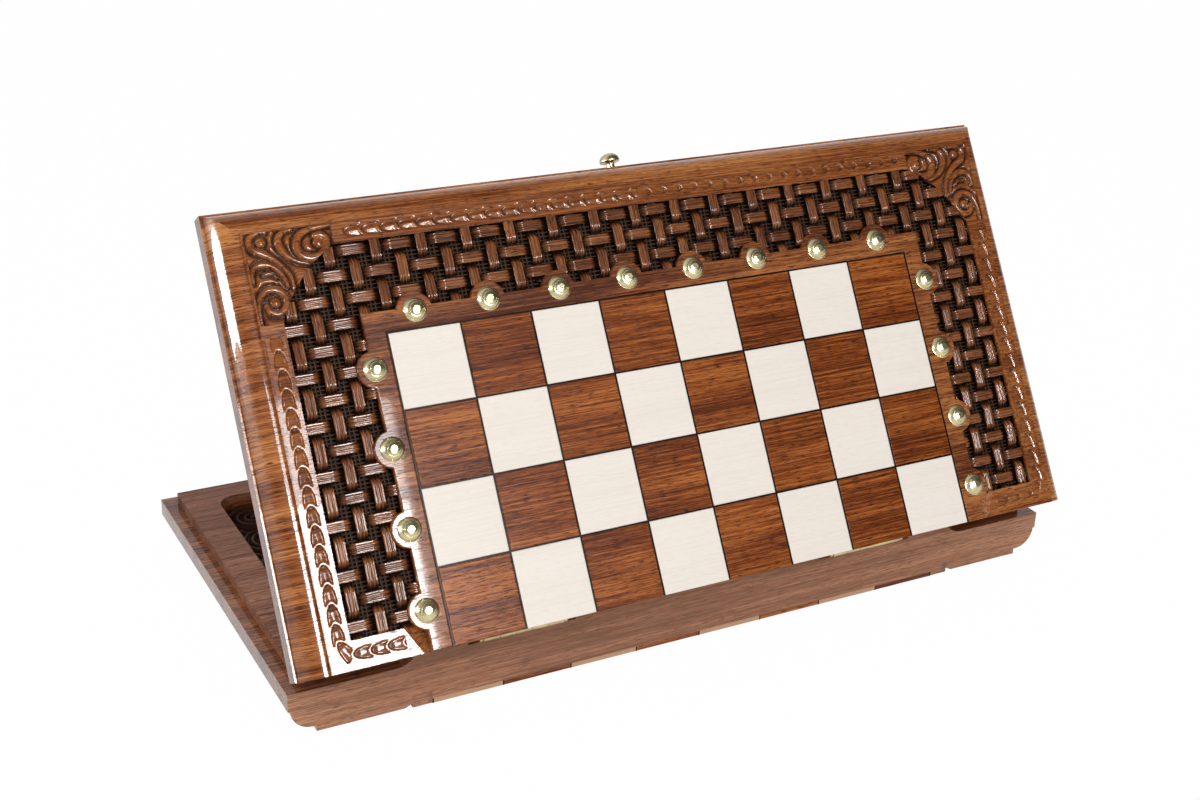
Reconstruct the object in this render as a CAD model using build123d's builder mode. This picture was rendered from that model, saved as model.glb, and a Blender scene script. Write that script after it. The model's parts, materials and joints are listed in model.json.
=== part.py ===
from build123d import *

import math
import os

os.makedirs("parts", exist_ok=True)

# Folding game box: two alike trays of carved walnut, hinged along a long side.
# Each tray is built in its own home frame: u along the hinge, v away from the hinge
# edge, w from the carved outer face (w = 0) to the rim. The lower tray lies with its
# carved face down, on the heads of its tacks. The upper tray leans back half open.

# Driving sizes: the chess squares set the tray's length and width, through the strip,
# the channel and the frame round them
square_pitch = 50.0
squares_long = 8
squares_deep = 4
line_width = 1.0
strip_width = 13.9
end_channel_width = 49.1
far_channel_width = 46.6
end_frame_width = 15.5
far_frame_width = 14.0
frame_drop = 1.3
tray_thickness = 40.6
open_angle = 58.5
meeting_clearance = 0.2

# Edge moulding on the two ends and the far side
moulding_height = 20.0
ovolo_radius = 14.5
ledge = 2.0
quirk = 1.7

# Rebate round the rim, with its run-out on the hinge side
rebate_width = 10.0
rebate_depth = 8.0
runout_clearance = 5.7
runout_length = 14.0

# Recess for play and what lies in it
rail_width = 30.0
end_rail_width = 33.7
recess_depth = 18.0
recess_corner = 13.5
panel_width = 41.0
panel_height = 8.5
panel_clearance = 0.5
point_length = 150.0
point_share = 0.94
point_gap = 1.0
inlay_thickness = 1.5
points_per_end = 6

# Chessboard on the outer face
tile_thickness = 3.5

# Lobes of the strip round the board, and its tacks
strip_thickness = 9.0
lobe_radius = 12.0
tack_inset = 11.7
column_shift = 0.3
tack_spread = 1.0
tack_radius = 8.0
tack_height = 4.5
tack_tip_radius = 2.0
tack_shank_radius = 1.2
tack_shank_length = 7.0
shank_clearance = 0.05
tacks_top = 8
tacks_side = 4

# Sunk channel with the woven panel
channel_near = 18.0
channel_depth = 9.0
throat_gap = 4.9
throat_slope = 9.7
throat_fall = 0.46
corner_cut_along = 41.5
corner_cut_down = 45.0
corner_cut_sag = 5.0
wicker_thickness = 5.0

# Carved bands and corner scrolls, let into the frame round the channel
band_depth = 3.0
band_width = 12.5
band_inset = 1.2
band_stop = 8.0
scroll_depth = 4.0
scroll_margin = 1.0

# Hinges
hinge_inset = 160.7
hinge_length = 58.0
hinge_notch_length = 78.0
barrel_radius = 3.0
barrel_clearance = 0.4
pin_radius = 1.5
pin_clearance = 0.05
pin_head_length = 2.4
pin_head_radius = 2.6
pin_end_gap = 0.3
knuckles = 5
knuckle_gap = 0.3
leaf_width = 24.0
leaf_thickness = 1.6
leaf_clearance = 0.15
screw_pitch = 20.0
screw_row = 14.0
screw_shank_radius = 1.5
screw_head_radius = 3.0
screw_length = 14.0
screw_clearance = 0.1
head_sink = 0.1

# Pull knob in the far rebate of the upper tray
knob_rim_distance = 4.2
knob_stem_radius = 3.2
knob_reach = 17.0
knob_cap_radius = 7.2
knob_cap_height = 6.8
knob_neck_radius = 3.7
knob_shank_radius = 1.6
knob_shank_length = 14.0

# Values that follow from them
tile_half_length = squares_long * square_pitch / 2 + line_width / 2
tile_depth = squares_deep * square_pitch + line_width / 2
strip_half_length = tile_half_length + strip_width
strip_far = tile_depth + strip_width
channel_half_length = strip_half_length + end_channel_width
channel_far = strip_far + far_channel_width
frame_half_length = channel_half_length + end_frame_width
frame_far = channel_far + far_frame_width
moulding_width = ledge + ovolo_radius + quirk
half_length = frame_half_length + moulding_width
board_width = frame_far + moulding_width
throat_inner = strip_half_length + throat_gap
throat_outer = throat_inner + throat_slope
runout_start = throat_inner + runout_clearance
band_end = channel_far - corner_cut_down - band_stop
hinge_centre = half_length - hinge_inset
tack_pitch = square_pitch + tack_spread
rim = tray_thickness - meeting_clearance
wall = meeting_clearance
theta = math.radians(open_angle)
row_front = wall * math.cos(theta) - tray_thickness * math.sin(theta)
row_middle = (row_front + board_width) / 2
recess_half_length = half_length - end_rail_width
recess_far = board_width - rail_width
floor_level = rim - recess_depth
panel_inner = recess_half_length - panel_width

lower_home = Plane(origin=(0, -row_middle, tack_height), x_dir=(1, 0, 0), z_dir=(0, 0, 1))
upper_home = Plane(
    origin=(
        0,
        -row_middle - tray_thickness * math.sin(theta),
        tack_height + tray_thickness + tray_thickness * math.cos(theta),
    ),
    x_dir=(-1, 0, 0),
    z_dir=(0, math.sin(theta), -math.cos(theta)),
)


def place(home, u, v, w):
    """A point of the tray's home frame, as a point of the whole box."""
    return home.origin + home.x_dir * u + home.y_dir * v + home.z_dir * w


def across(home, u=0, v=0, w=0):
    """Plane square to the hinge-to-far direction: sketch axes u and w, normal towards the hinge."""
    return Plane(place(home, u, v, w), x_dir=home.x_dir, z_dir=-home.y_dir)


def along(home, u=0, v=0, w=0):
    """Plane square to the hinge line: sketch axes v and w, normal along u."""
    return Plane(place(home, u, v, w), x_dir=home.y_dir, z_dir=home.x_dir)


def finish(item, label):
    """Names a finished piece and writes it."""
    item.part.label = label
    export_step(item.part, f"parts/{label}.step")


def moulded_edge(reach):
    """Outline points of one moulded edge, from the outer face up to the rim, and the ovolo's middle."""
    foot = reach - quirk - ovolo_radius - ledge
    centre = reach - quirk - ovolo_radius
    slant = ovolo_radius * math.sqrt(0.5)
    start = (centre, moulding_height - ovolo_radius)
    middle = (centre + slant, moulding_height - slant)
    end = (reach - quirk, moulding_height)
    shoulder = rim - rebate_depth
    return foot, start, middle, end, shoulder


def end_outline(side):
    """Half of the tray's section seen from the hinge side, with the moulding on its end."""
    foot, start, middle, end, shoulder = moulded_edge(half_length)
    Polyline(*[(side * a, b) for a, b in ((0, 0), (foot, 0), (foot, start[1]), start)])
    ThreePointArc(*[(side * a, b) for a, b in (start, middle, end)])
    inner = half_length - rebate_width
    Polyline(
        *[
            (side * a, b)
            for a, b in (
                end,
                (half_length, moulding_height),
                (half_length, shoulder),
                (inner, shoulder),
                (inner, rim),
                (0, rim),
                (0, 0),
            )
        ]
    )


def far_outline():
    """The tray's section along its depth: plain at the hinge side, moulded at the far side."""
    foot, start, middle, end, shoulder = moulded_edge(board_width)
    Polyline((wall, 0), (foot, 0), (foot, start[1]), start)
    ThreePointArc(start, middle, end)
    inner = board_width - rebate_width
    Polyline(
        end,
        (board_width, moulding_height),
        (board_width, shoulder),
        (inner, shoulder),
        (inner, rim),
        (wall, rim),
        (wall, 0),
    )


def corner_cut(side):
    """Ends and middle of the curve that cuts off the channel's far corner."""
    top = (side * (channel_half_length - corner_cut_along), channel_far)
    low = (side * channel_half_length, channel_far - corner_cut_down)
    length = math.hypot(corner_cut_along, corner_cut_down)
    middle = (
        side * (channel_half_length - corner_cut_along / 2 + corner_cut_sag * corner_cut_down / length),
        channel_far - corner_cut_down / 2 + corner_cut_sag * corner_cut_along / length,
    )
    return top, middle, low


def channel_outline():
    """The sunk channel on three sides of the board, and the board's own bed between them."""
    left_top, left_middle, left_low = corner_cut(-1)
    right_top, right_middle, right_low = corner_cut(1)
    ThreePointArc(left_low, left_middle, left_top)
    Line(left_top, right_top)
    ThreePointArc(right_top, right_middle, right_low)
    Polyline(
        right_low,
        (channel_half_length, channel_near),
        (strip_half_length, channel_near),
        (strip_half_length, 0),
        (-strip_half_length, 0),
        (-strip_half_length, channel_near),
        (-channel_half_length, channel_near),
        left_low,
    )


def throat_section(side, reach):
    """Section of a sloping throat: a triangle from the frame's face down to the strip's wall."""
    depth = frame_drop + throat_fall * (reach - strip_half_length)
    corners = [(strip_half_length, 0), (reach + frame_drop / throat_fall, 0), (strip_half_length, depth)]
    Polygon(*[(side * u, w) for u, w in corners], align=None)


def span_box(u_low, u_high, v_low, v_high, mode=Mode.ADD):
    """A rectangle between two u and two v values."""
    with Locations(((u_low + u_high) / 2, (v_low + v_high) / 2)):
        Rectangle(u_high - u_low, v_high - v_low, mode=mode)


def tack_spots():
    """Centres of the tacks: one row beyond the board, one column at each end."""
    row = tile_depth + tack_inset
    column = tile_half_length + tack_inset + column_shift
    spots = [((i - (tacks_top - 1) / 2) * tack_pitch, row) for i in range(tacks_top)]
    for side in (-1, 1):
        spots += [(side * column, tack_pitch * (j + 0.5)) for j in range(tacks_side)]
    return spots


def strip_outline():
    """The strip round the board, with a round lobe behind each tack."""
    span_box(-strip_half_length, strip_half_length, wall, strip_far)
    with Locations(*tack_spots()):
        Circle(lobe_radius)
    span_box(-tile_half_length, tile_half_length, 0, tile_depth, Mode.SUBTRACT)


def tile_spots(colour):
    """Centres of the squares of one colour; the light ones start at the first corner."""
    spots = []
    for row in range(squares_deep):
        for column in range(squares_long):
            if (row + column) % 2 == colour:
                u = (column - (squares_long - 1) / 2) * square_pitch
                spots.append((u, (row + 0.5) * square_pitch))
    return spots


def tile_outlines(colour, mode=Mode.ADD):
    """Squares of one colour; those on the hinge side run on to the wall's face."""
    half = (square_pitch - line_width) / 2
    for u, v in tile_spots(colour):
        low = wall if v < square_pitch else v - half
        span_box(u - half, u + half, low, v + half, mode)


def band_outlines():
    """The carved bands: an angle up each end and round its near corner, and one far run."""
    inner = channel_half_length + band_inset
    outer = inner + band_width
    low = (channel_near - band_width) / 2
    for side in (-1, 1):
        span_box(*sorted((side * inner, side * outer)), low, band_end)
        span_box(*sorted((side * throat_outer, side * outer)), low, low + band_width)
    reach = channel_half_length - corner_cut_along - scroll_margin
    span_box(-reach, reach, channel_far + band_inset, frame_far - band_inset)


def scroll_outline(side):
    """One corner scroll: the frame's far corner and the corner cut off the channel."""
    top, middle, low = corner_cut(side)
    outer = frame_half_length - scroll_margin
    far = frame_far - scroll_margin
    ThreePointArc(top, middle, low)
    Polyline(low, (side * outer, low[1]), (side * outer, far), (top[0], far), top)


def point_outline(side, number):
    """One long triangle of the backgammon table, from an end panel towards the middle."""
    pitch = (recess_far - rail_width - 2 * point_gap) / points_per_end
    centre = rail_width + point_gap + pitch * (number + 0.5)
    base = panel_inner - point_gap
    half_base = pitch * point_share / 2
    corners = [(base, centre - half_base), (base, centre + half_base), (base - point_length, centre)]
    Polygon(*[(side * u, v) for u, v in corners], align=None)


def points_of(colour):
    """Side and number of each point of one colour; facing points differ in colour."""
    return [
        (side, number)
        for side in (-1, 1)
        for number in range(points_per_end)
        if (number + (side > 0)) % 2 == colour
    ]


def screw_spots(centre):
    """Centres of one leaf's screws."""
    return [(centre + step * screw_pitch, screw_row) for step in (-1, 0, 1)]


def build_board(name, home, with_knob):
    """The tray itself: moulded edges, rebated rim, recess inside and sunk beds outside."""
    with BuildPart() as board:
        with BuildSketch(across(home)):
            for side in (-1, 1):
                with BuildLine():
                    end_outline(side)
                make_face()
        extrude(amount=-board_width)
        with BuildSketch(along(home)):
            with BuildLine():
                far_outline()
            make_face()
        extrude(amount=half_length, both=True, mode=Mode.INTERSECT)
        # Rebate on the hinge side, with its curved run-out
        with BuildSketch(across(home)):
            for side in (-1, 1):
                swing = (runout_length**2 + rebate_depth**2) / (2 * rebate_depth)
                turn = math.asin(runout_length / swing) / 2
                middle = (
                    runout_start - swing * math.sin(turn),
                    rim - rebate_depth + swing * (1 - math.cos(turn)),
                )
                with BuildLine():
                    ThreePointArc(
                        (side * (runout_start - runout_length), rim),
                        (side * middle[0], middle[1]),
                        (side * runout_start, rim - rebate_depth),
                    )
                    Polyline(
                        (side * runout_start, rim - rebate_depth),
                        (side * half_length, rim - rebate_depth),
                        (side * half_length, rim),
                        (side * (runout_start - runout_length), rim),
                    )
                make_face()
        extrude(amount=-rebate_width, mode=Mode.SUBTRACT)
        # Recess, and the beds of its inlaid points
        with BuildSketch(home.offset(rim)):
            with Locations((0, (rail_width + recess_far) / 2)):
                RectangleRounded(2 * recess_half_length, recess_far - rail_width, recess_corner)
        extrude(amount=-recess_depth, mode=Mode.SUBTRACT)
        with BuildSketch(home.offset(floor_level)):
            for colour in (0, 1):
                for side, number in points_of(colour):
                    point_outline(side, number)
        extrude(amount=-inlay_thickness, mode=Mode.SUBTRACT)
        # The frame round the channel lies a little below the board's strip
        with BuildSketch(home):
            span_box(-half_length, half_length, 0, board_width)
            span_box(-strip_half_length, strip_half_length, 0, strip_far, Mode.SUBTRACT)
        extrude(amount=frame_drop, mode=Mode.SUBTRACT)
        # Sloping throats beside the strip, from the frame down into the channel
        for side in (-1, 1):
            for v, reach in ((0, throat_inner), (channel_near, throat_outer)):
                with BuildSketch(across(home, 0, v)):
                    throat_section(side, reach)
            loft(ruled=True, mode=Mode.SUBTRACT)
        # Beds on the outer face
        with BuildSketch(home):
            with BuildLine():
                channel_outline()
            make_face()
            with Locations(*tack_spots()):
                Circle(lobe_radius)
            span_box(-tile_half_length, tile_half_length, 0, tile_depth, Mode.SUBTRACT)
        extrude(amount=channel_depth, mode=Mode.SUBTRACT)
        with BuildSketch(home):
            span_box(-tile_half_length, tile_half_length, 0, tile_depth)
        extrude(amount=tile_thickness, mode=Mode.SUBTRACT)
        with BuildSketch(home.offset(frame_drop)):
            band_outlines()
        extrude(amount=band_depth, mode=Mode.SUBTRACT)
        with BuildSketch(home.offset(frame_drop)):
            for side in (-1, 1):
                with BuildLine():
                    scroll_outline(side)
                make_face()
        extrude(amount=scroll_depth, mode=Mode.SUBTRACT)
        # Notches for the hinge barrels, beds for the leaves and holes for the screws
        for centre in (-hinge_centre, hinge_centre):
            with BuildSketch(along(home, centre - hinge_notch_length / 2, 0, tray_thickness)):
                Circle(barrel_radius + barrel_clearance)
            extrude(amount=hinge_notch_length, mode=Mode.SUBTRACT)
            with BuildSketch(home.offset(rim)):
                half = hinge_length / 2 + leaf_clearance
                span_box(centre - half, centre + half, 0, leaf_width + leaf_clearance)
            extrude(amount=-leaf_thickness, mode=Mode.SUBTRACT)
            with BuildSketch(home.offset(rim)):
                with Locations(*screw_spots(centre)):
                    Circle(screw_shank_radius + screw_clearance)
            extrude(amount=-screw_length - screw_clearance, mode=Mode.SUBTRACT)
        if with_knob:
            with BuildSketch(across(home, 0, board_width - rebate_width, rim - knob_rim_distance)):
                Circle(knob_shank_radius + shank_clearance)
            extrude(amount=knob_shank_length + shank_clearance, mode=Mode.SUBTRACT)
    finish(board, name)


def build_outer_face(prefix, home):
    """What is set into the outer face: squares, lines, strip, woven panel and carvings."""
    for colour, label in ((0, "light_squares"), (1, "dark_squares")):
        with BuildPart() as squares:
            with BuildSketch(home):
                tile_outlines(colour)
            extrude(amount=tile_thickness)
        finish(squares, f"{prefix}_{label}")

    with BuildPart() as stringing:
        with BuildSketch(home):
            span_box(-tile_half_length, tile_half_length, wall, tile_depth)
            for colour in (0, 1):
                tile_outlines(colour, Mode.SUBTRACT)
        extrude(amount=tile_thickness)
    finish(stringing, f"{prefix}_stringing")

    with BuildPart() as strip:
        with BuildSketch(home):
            strip_outline()
        extrude(amount=strip_thickness)
        with BuildSketch(home):
            with Locations(*tack_spots()):
                Circle(tack_shank_radius + shank_clearance)
        extrude(amount=strip_thickness, mode=Mode.SUBTRACT)
    finish(strip, f"{prefix}_border_strip")

    with BuildPart() as wicker:
        with BuildSketch(home.offset(channel_depth)):
            with BuildLine():
                channel_outline()
            make_face()
            span_box(-channel_half_length, channel_half_length, 0, channel_near, Mode.SUBTRACT)
            span_box(-strip_half_length, strip_half_length, 0, strip_far, Mode.SUBTRACT)
            with Locations(*tack_spots()):
                Circle(lobe_radius, mode=Mode.SUBTRACT)
        extrude(amount=-wicker_thickness)
    finish(wicker, f"{prefix}_wicker_panel")

    with BuildPart() as bands:
        with BuildSketch(home.offset(frame_drop)):
            band_outlines()
        extrude(amount=band_depth)
    finish(bands, f"{prefix}_leaf_bands")

    with BuildPart() as scrolls:
        with BuildSketch(home.offset(frame_drop)):
            for side in (-1, 1):
                with BuildLine():
                    scroll_outline(side)
                make_face()
        extrude(amount=scroll_depth)
    finish(scrolls, f"{prefix}_corner_scrolls")


def build_tacks(prefix, home):
    """Domed brass tacks; their flat tips are what the lower tray stands on."""
    rise = (tack_radius**2 - tack_tip_radius**2 - tack_height**2) / (2 * tack_height)
    dome = math.hypot(tack_radius, rise)
    start = math.atan2(-rise, tack_radius)
    end = math.atan2(-tack_height - rise, tack_tip_radius)
    middle = (start + end) / 2
    with BuildPart() as tacks:
        for u, v in tack_spots():
            with BuildSketch(across(home, u, v)):
                with BuildLine():
                    Polyline((0, -tack_height), (0, tack_shank_length), (tack_shank_radius, tack_shank_length))
                    Polyline(
                        (tack_shank_radius, tack_shank_length),
                        (tack_shank_radius, 0),
                        (tack_radius, 0),
                    )
                    ThreePointArc(
                        (tack_radius, 0),
                        (dome * math.cos(middle), rise + dome * math.sin(middle)),
                        (tack_tip_radius, -tack_height),
                    )
                    Line((tack_tip_radius, -tack_height), (0, -tack_height))
                make_face()
            revolve(axis=Axis(place(home, u, v, 0), home.z_dir))
    finish(tacks, f"{prefix}_tacks")


def build_recess(prefix, home):
    """What lies in the recess: inlaid points and the carved panels at its ends."""
    for colour, label in ((0, "light_points"), (1, "dark_points")):
        with BuildPart() as points:
            with BuildSketch(home.offset(floor_level)):
                for side, number in points_of(colour):
                    point_outline(side, number)
            extrude(amount=-inlay_thickness)
        finish(points, f"{prefix}_{label}")

    with BuildPart() as panels:
        with BuildSketch(home.offset(floor_level)):
            with Locations((0, (rail_width + recess_far) / 2)):
                RectangleRounded(
                    2 * (recess_half_length - panel_clearance),
                    recess_far - rail_width - 2 * panel_clearance,
                    recess_corner - panel_clearance,
                )
            span_box(-panel_inner, panel_inner, rail_width, recess_far, Mode.SUBTRACT)
        extrude(amount=panel_height)
    finish(panels, f"{prefix}_end_panels")


def build_leaf(label, home, centre, numbers):
    """One leaf of a butt hinge, with its own knuckles, bored for the pin and for three screws."""
    step = hinge_length / knuckles
    first = centre - hinge_length / 2
    clear = barrel_radius + barrel_clearance
    with BuildPart() as leaf:
        with BuildSketch(home.offset(rim)):
            span_box(first, first + hinge_length, clear, leaf_width)
            for number in numbers:
                low = first + number * step + knuckle_gap / 2
                span_box(low, low + step - knuckle_gap, 0, clear + 1)
        extrude(amount=-leaf_thickness)
        for number in numbers:
            with BuildSketch(along(home, first + number * step + knuckle_gap / 2, 0, tray_thickness)):
                Circle(barrel_radius)
            extrude(amount=step - knuckle_gap)
        with BuildSketch(along(home, first, 0, tray_thickness)):
            Circle(pin_radius + pin_clearance)
        extrude(amount=hinge_length, mode=Mode.SUBTRACT)
        with Locations(*[home.offset(rim).location * Location((u, v, 0)) for u, v in screw_spots(centre)]):
            CounterSinkHole(
                radius=screw_shank_radius + screw_clearance,
                counter_sink_radius=screw_head_radius + screw_clearance,
                counter_sink_angle=90,
            )
    finish(leaf, label)


def build_pin(label, home, centre):
    """The hinge pin, with a turned head at each end."""
    length = hinge_length + 2 * pin_end_gap
    start = centre - length / 2
    with BuildPart() as pin:
        with BuildSketch(along(home, start, 0, tray_thickness)):
            Circle(pin_radius)
        extrude(amount=length)
        for low in (start - pin_head_length, start + length):
            with BuildSketch(along(home, low, 0, tray_thickness)):
                Circle(pin_head_radius)
            extrude(amount=pin_head_length)
    finish(pin, label)


def build_screws(label, home, centre):
    """Three countersunk screws, their heads just under the leaf's face."""
    head_height = screw_head_radius - screw_shank_radius
    top = home.offset(rim - head_sink)
    with BuildPart() as screws:
        with Locations(*[top.location * Location((u, v, 0)) for u, v in screw_spots(centre)]):
            Cone(
                screw_shank_radius,
                screw_head_radius,
                head_height,
                align=(Align.CENTER, Align.CENTER, Align.MAX),
            )
            Cylinder(
                screw_shank_radius,
                screw_length - head_sink,
                align=(Align.CENTER, Align.CENTER, Align.MAX),
            )
    finish(screws, label)


def build_knob(label, home):
    """The turned brass pull: shank, stem, waisted neck and domed cap."""
    base = board_width - rebate_width
    shoulder = base + knob_reach
    top = shoulder + knob_cap_height
    level = rim - knob_rim_distance
    seat = Plane(place(home, 0, 0, level), x_dir=home.y_dir, z_dir=home.x_dir)
    with BuildPart() as knob:
        with BuildSketch(seat):
            with BuildLine():
                Polyline(
                    (base - knob_shank_length, 0),
                    (base - knob_shank_length, knob_shank_radius),
                    (base, knob_shank_radius),
                    (base, knob_neck_radius),
                    (base + 1, knob_neck_radius),
                    (base + 2, knob_stem_radius),
                    (shoulder, knob_stem_radius),
                    (shoulder + 1, knob_cap_radius),
                )
                cap_base = shoulder + 1
                rise = top - cap_base
                swing = (knob_cap_radius**2 + rise**2) / (2 * rise)
                turn = math.atan2(knob_cap_radius, swing - rise) / 2
                ThreePointArc(
                    (cap_base, knob_cap_radius),
                    (top - swing + swing * math.cos(turn), swing * math.sin(turn)),
                    (top, 0),
                )
                Line((top, 0), (base - knob_shank_length, 0))
            make_face()
        revolve(axis=Axis(place(home, 0, base, level), home.y_dir))
    finish(knob, label)


for prefix, home in (("lower", lower_home), ("upper", upper_home)):
    build_board(f"{prefix}_board", home, prefix == "upper")
    build_outer_face(prefix, home)
    build_tacks(prefix, home)
    build_recess(prefix, home)

# The upper tray is turned over, so its u runs against the lower tray's.
for side, centre in (("left", -hinge_centre), ("right", hinge_centre)):
    build_leaf(f"{side}_hinge_lower_leaf", lower_home, centre, (0, 2, 4))
    build_leaf(f"{side}_hinge_upper_leaf", upper_home, -centre, (1, 3))
    build_pin(f"{side}_hinge_pin", lower_home, centre)
    build_screws(f"{side}_hinge_lower_screws", lower_home, centre)
    build_screws(f"{side}_hinge_upper_screws", upper_home, -centre)

build_knob("pull_knob", upper_home)
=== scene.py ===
# A folding game box: two alike carved walnut trays, hinged along a long side, with a chessboard
# let into the outer faces, woven borders, carved leaves and scrolls, and domed brass tacks.
import json
import math

import bpy
import numpy as np
from mathutils import Matrix, Vector


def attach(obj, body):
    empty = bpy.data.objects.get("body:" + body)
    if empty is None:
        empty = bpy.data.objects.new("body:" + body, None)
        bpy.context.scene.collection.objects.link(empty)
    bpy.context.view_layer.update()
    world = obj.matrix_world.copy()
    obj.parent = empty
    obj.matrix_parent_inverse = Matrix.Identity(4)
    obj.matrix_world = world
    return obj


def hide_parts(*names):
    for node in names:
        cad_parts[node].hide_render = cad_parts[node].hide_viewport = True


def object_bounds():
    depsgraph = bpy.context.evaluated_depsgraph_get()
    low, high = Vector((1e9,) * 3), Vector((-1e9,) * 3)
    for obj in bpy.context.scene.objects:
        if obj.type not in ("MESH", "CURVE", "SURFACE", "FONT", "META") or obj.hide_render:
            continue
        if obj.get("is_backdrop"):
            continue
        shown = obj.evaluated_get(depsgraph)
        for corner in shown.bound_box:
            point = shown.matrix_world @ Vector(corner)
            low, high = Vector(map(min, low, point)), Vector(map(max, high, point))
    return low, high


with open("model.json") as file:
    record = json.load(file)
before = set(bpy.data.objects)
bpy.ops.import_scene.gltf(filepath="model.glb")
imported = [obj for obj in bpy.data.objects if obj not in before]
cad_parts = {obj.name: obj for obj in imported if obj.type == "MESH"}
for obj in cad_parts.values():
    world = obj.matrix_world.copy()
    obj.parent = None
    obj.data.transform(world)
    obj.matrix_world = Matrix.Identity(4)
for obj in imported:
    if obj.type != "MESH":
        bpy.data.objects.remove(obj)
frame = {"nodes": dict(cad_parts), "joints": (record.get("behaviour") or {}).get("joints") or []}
cad_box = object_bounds()

# The camera stands to the left in front of the box and looks down on the leaning upper tray.
# Its place and turn were worked out from the corners of the chess squares.
CAMERA_PLACE = Vector((-0.5736, -1.0327, 0.6482))
CAMERA_HEADING = math.radians(-28.43)
CAMERA_FALL = math.radians(23.64)
CAMERA_ROLL = math.radians(1.85)
FOCAL_PIXELS = 1772.8
PHOTO_WIDTH = 1200
FILM_WIDTH = 36.0


def camera_turn(heading, fall, roll):
    """Turn whose columns are right, up and backwards: heading about Z, then down, then rolled."""
    ahead = Vector((-math.sin(heading) * math.cos(fall), math.cos(heading) * math.cos(fall), -math.sin(fall)))
    right = Vector((math.cos(heading), math.sin(heading), 0))
    up = right.cross(ahead)
    turned_right = right * math.cos(roll) + up * math.sin(roll)
    turned_up = up * math.cos(roll) - right * math.sin(roll)
    return Matrix((turned_right, turned_up, -ahead)).transposed()


camera = bpy.data.objects.new("camera", bpy.data.cameras.new("camera"))
camera.data.sensor_width = FILM_WIDTH
camera.data.lens = FOCAL_PIXELS * FILM_WIDTH / PHOTO_WIDTH
camera.matrix_world = (
    Matrix.Translation(CAMERA_PLACE) @ camera_turn(CAMERA_HEADING, CAMERA_FALL, CAMERA_ROLL).to_4x4()
)
bpy.context.scene.collection.objects.link(camera)
bpy.context.scene.camera = camera


# The two walnut trays. Both are sawn from the same boards: satin on the rim and the hinge side,
# lacquered to a gloss on the carved outer face. They stay as the frame has them.
class Value:
    """A socket's output, on which arithmetic adds Math nodes."""

    def __init__(self, shade, socket):
        self.shade = shade
        self.socket = socket

    def _math(self, operation, *values):
        settings = {"operation": operation}
        return self.shade.node("ShaderNodeMath", settings, dict(enumerate(values)))

    def __add__(self, other):
        return self._math("ADD", self, other)

    def __radd__(self, other):
        return self._math("ADD", other, self)

    def __sub__(self, other):
        return self._math("SUBTRACT", self, other)

    def __rsub__(self, other):
        return self._math("SUBTRACT", other, self)

    def __mul__(self, other):
        return self._math("MULTIPLY", self, other)

    def __rmul__(self, other):
        return self._math("MULTIPLY", other, self)

    def largest(self, other):
        """The larger of the two."""
        return self._math("MAXIMUM", self, other)

    def clipped(self, low, high):
        """The part from low to high, stretched to 0 to 1 and held there; it falls if low is larger."""
        return self.shade.node("ShaderNodeMapRange", {"clamp": True}, {0: self, 1: low, 2: high})


class Nodes:
    """A tree of shader nodes."""

    def __init__(self, tree):
        self.nodes, self.links = tree.nodes, tree.links

    def node(self, kind, settings=None, values=None, output=0):
        """Adds a node, sets its settings and stops, then its sockets, and gives one output."""
        node = self.nodes.new(kind)
        for key, setting in (settings or {}).items():
            if key == "stops":
                ramp = node.color_ramp
                while len(ramp.elements) < len(setting):
                    ramp.elements.new(0.5)
                for element, (position, colour) in zip(ramp.elements, setting):
                    element.position = position
                    element.color = colour
            else:
                setattr(node, key, setting)
        for key, value in (values or {}).items():
            if isinstance(value, Value):
                self.links.new(value.socket, node.inputs[key])
            else:
                node.inputs[key].default_value = value
        return Value(self, node.outputs[output])


class Shade(Nodes):
    """One material and its nodes; fixed numbers go straight on the shader's own sockets."""

    def __init__(self, name, **fixed):
        self.material = bpy.data.materials.new(name)
        self.material.use_nodes = True
        super().__init__(self.material.node_tree)
        self.shader = self.nodes["Principled BSDF"]
        for socket, value in fixed.items():
            self.shader.inputs[socket.replace("_", " ")].default_value = value

    def feed(self, **links):
        """Links values to the shader's sockets, and gives the finished material."""
        for socket, value in links.items():
            self.links.new(value.socket, self.shader.inputs[socket.replace("_", " ")])
        return self.material

    def place(self, source, scale):
        """The piece's own coordinates, stretched: source is Object or UV."""
        point = self.node("ShaderNodeTexCoord", output=source)
        return self.node("ShaderNodeMapping", {}, {"Vector": point, "Scale": scale})

    def noise(self, point, detail=4.0, roughness=0.6, distortion=0.0):
        """Noise of scale 1 on a point, so the point's stretch sets the size of its grain."""
        sizes = {"Vector": point, "Scale": 1.0, "Detail": detail}
        sizes |= {"Roughness": roughness, "Distortion": distortion}
        return self.node("ShaderNodeTexNoise", {}, sizes)

    def blend(self, factor, first, second):
        """Mixes two colours."""
        return self.node("ShaderNodeMix", {"data_type": "RGBA"}, {0: factor, 6: first, 7: second}, output=2)

    def stain(self):
        """The piece's own tone per point, from 0 to 1: stain and painted shade, or lighter ridge tops."""
        return self.node("ShaderNodeAttribute", {"attribute_name": "stain"}, output=2)

    def bump(self, height, strength, distance=0.0003):
        """A relief, whose full height is the distance in metres."""
        return self.node("ShaderNodeBump", {}, {"Strength": strength, "Distance": distance, "Height": height})


def paint(colour):
    """A colour as it is seen, from 0 to 255, made into linear light with an alpha of 1."""
    return (*[((c / 255 + 0.055) / 1.055) ** 2.4 for c in colour], 1.0)


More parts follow.
